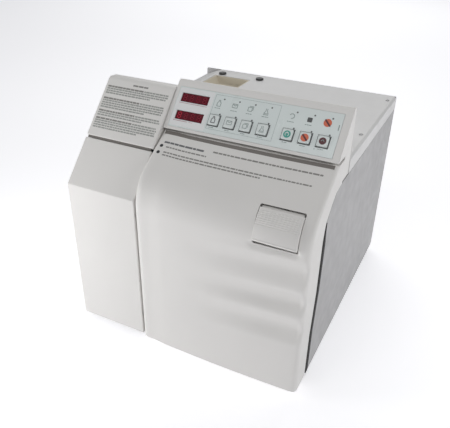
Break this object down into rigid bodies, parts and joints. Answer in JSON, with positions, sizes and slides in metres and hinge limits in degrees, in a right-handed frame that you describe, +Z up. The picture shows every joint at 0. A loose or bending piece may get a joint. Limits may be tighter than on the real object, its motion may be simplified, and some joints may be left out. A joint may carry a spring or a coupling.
{
  "type": "benchtop autoclave",
  "caption": "Benchtop steam autoclave with a left-hung front door, pull handle, sloping control panel and round chamber with trays.",
  "frame": {"origin": "middle of the object's box on the surface it stands on", "axes": "+Z up, -Y out of the front door, +X to the right seen from the front"},
  "size_m": [0.389, 0.467, 0.4044],
  "materials": {
    "white_plastic": "fine moulded texture, off-white",
    "painted_steel": "off-white powder coat",
    "side_paint": "light grey powder coat",
    "dark_paint": "dark grey powder coat",
    "beige_plastic": "beige moulded plastic",
    "panel_film": "pale teal printed film",
    "key_light": "pale grey-green key cap",
    "display_red": "dark red display window",
    "black_plastic": "black moulded plastic",
    "plated_steel": "zinc plated sheet and bar",
    "stainless_steel": "brushed stainless steel",
    "brass": "machined brass",
    "gasket_silicone": "red-brown silicone rubber",
    "foot_rubber": "black rubber",
    "insulation": "felted mineral wool",
    "circuit_board": "green glass-fibre board",
    "tank_plastic": "translucent polyethylene"
  },
  "bodies": {
    "cabinet": {"base_pan": "plated_steel", "foot_front_left": "foot_rubber", "foot_front_right": "foot_rubber", "foot_rear_left": "foot_rubber", "foot_rear_right": "foot_rubber", "right_side_panel": "side_paint", "left_side_panel": "side_paint", "rear_panel": "side_paint", "power_inlet": "black_plastic", "fuse_holder": "black_plastic", "top_cover": "painted_steel", "fill_well": "beige_plastic", "rear_plug_left": "black_plastic", "rear_plug_right": "black_plastic", "column_cover": "white_plastic", "column_top_cover": "white_plastic", "front_frame": "dark_paint", "hinge_arm_lower": "plated_steel", "hinge_arm_upper": "plated_steel", "latch_strike": "plated_steel", "chamber_vessel": "stainless_steel", "insulation_jacket": "insulation", "chamber_cradle_front": "plated_steel", "chamber_cradle_rear": "plated_steel", "heater_element": "stainless_steel", "tray_rack": "stainless_steel", "tray_lower": "stainless_steel", "tray_upper": "stainless_steel", "water_tank": "tank_plastic", "fill_valve": "brass", "vent_valve": "brass", "relief_valve": "brass", "main_circuit_board": "circuit_board", "control_hood": "white_plastic", "control_overlay": "panel_film", "display_lens_upper": "display_red", "display_lens_lower": "display_red", "display_board": "circuit_board"},
    "door": {"door_cover": "white_plastic", "door_inner_panel": "white_plastic", "door_yoke": "plated_steel", "plate_stud": "stainless_steel", "pressure_plate": "stainless_steel", "door_gasket": "gasket_silicone", "hinge_block_lower": "plated_steel", "hinge_block_upper": "plated_steel", "hinge_pin_lower": "stainless_steel", "hinge_pin_upper": "stainless_steel", "handle_housing": "white_plastic", "handle_pin": "stainless_steel"},
    "handle": {"door_handle": "white_plastic", "latch_hook": "plated_steel"},
    "filler_cap": {"filler_cap": "black_plastic"},
    "key_cycle_one": {"key_cycle_one": "key_light"},
    "key_cycle_two": {"key_cycle_two": "key_light"},
    "key_cycle_three": {"key_cycle_three": "key_light"},
    "key_cycle_four": {"key_cycle_four": "key_light"},
    "key_start": {"key_start": "key_light"},
    "key_stop": {"key_stop": "key_light"},
    "key_vent": {"key_vent": "key_light"}
  },
  "joints": [
    {"name": "door_hinge", "type": "hinge", "parent": "cabinet", "child": "door", "pos_m": [-0.0613, -0.2155, 0.162], "axis": [0, 0, -1], "range_deg": [0, 90]},
    {"name": "handle_pivot", "type": "hinge", "parent": "door", "child": "handle", "pos_m": [0.1465, -0.204, 0.2935], "axis": [-1, 0, 0], "range_deg": [0, 25], "stiffness_Nm_per_rad": 0.6},
    {"name": "filler_cap_lift", "type": "slide", "parent": "cabinet", "child": "filler_cap", "axis": [0, 0, 1], "range_m": [0, 0.03]},
    {"name": "key_cycle_one_press", "type": "slide", "parent": "cabinet", "child": "key_cycle_one", "axis": [0, 0.7513, -0.66], "range_m": [0, 0.001], "stiffness_N_per_m": 300},
    {"name": "key_cycle_two_press", "type": "slide", "parent": "cabinet", "child": "key_cycle_two", "axis": [0, 0.7513, -0.66], "range_m": [0, 0.001], "stiffness_N_per_m": 300},
    {"name": "key_cycle_three_press", "type": "slide", "parent": "cabinet", "child": "key_cycle_three", "axis": [0, 0.7513, -0.66], "range_m": [0, 0.001], "stiffness_N_per_m": 300},
    {"name": "key_cycle_four_press", "type": "slide", "parent": "cabinet", "child": "key_cycle_four", "axis": [0, 0.7513, -0.66], "range_m": [0, 0.001], "stiffness_N_per_m": 300},
    {"name": "key_start_press", "type": "slide", "parent": "cabinet", "child": "key_start", "axis": [0, 0.7513, -0.66], "range_m": [0, 0.001], "stiffness_N_per_m": 300},
    {"name": "key_stop_press", "type": "slide", "parent": "cabinet", "child": "key_stop", "axis": [0, 0.7513, -0.66], "range_m": [0, 0.001], "stiffness_N_per_m": 300},
    {"name": "key_vent_press", "type": "slide", "parent": "cabinet", "child": "key_vent", "axis": [0, 0.7513, -0.66], "range_m": [0, 0.001], "stiffness_N_per_m": 300}
  ]
}
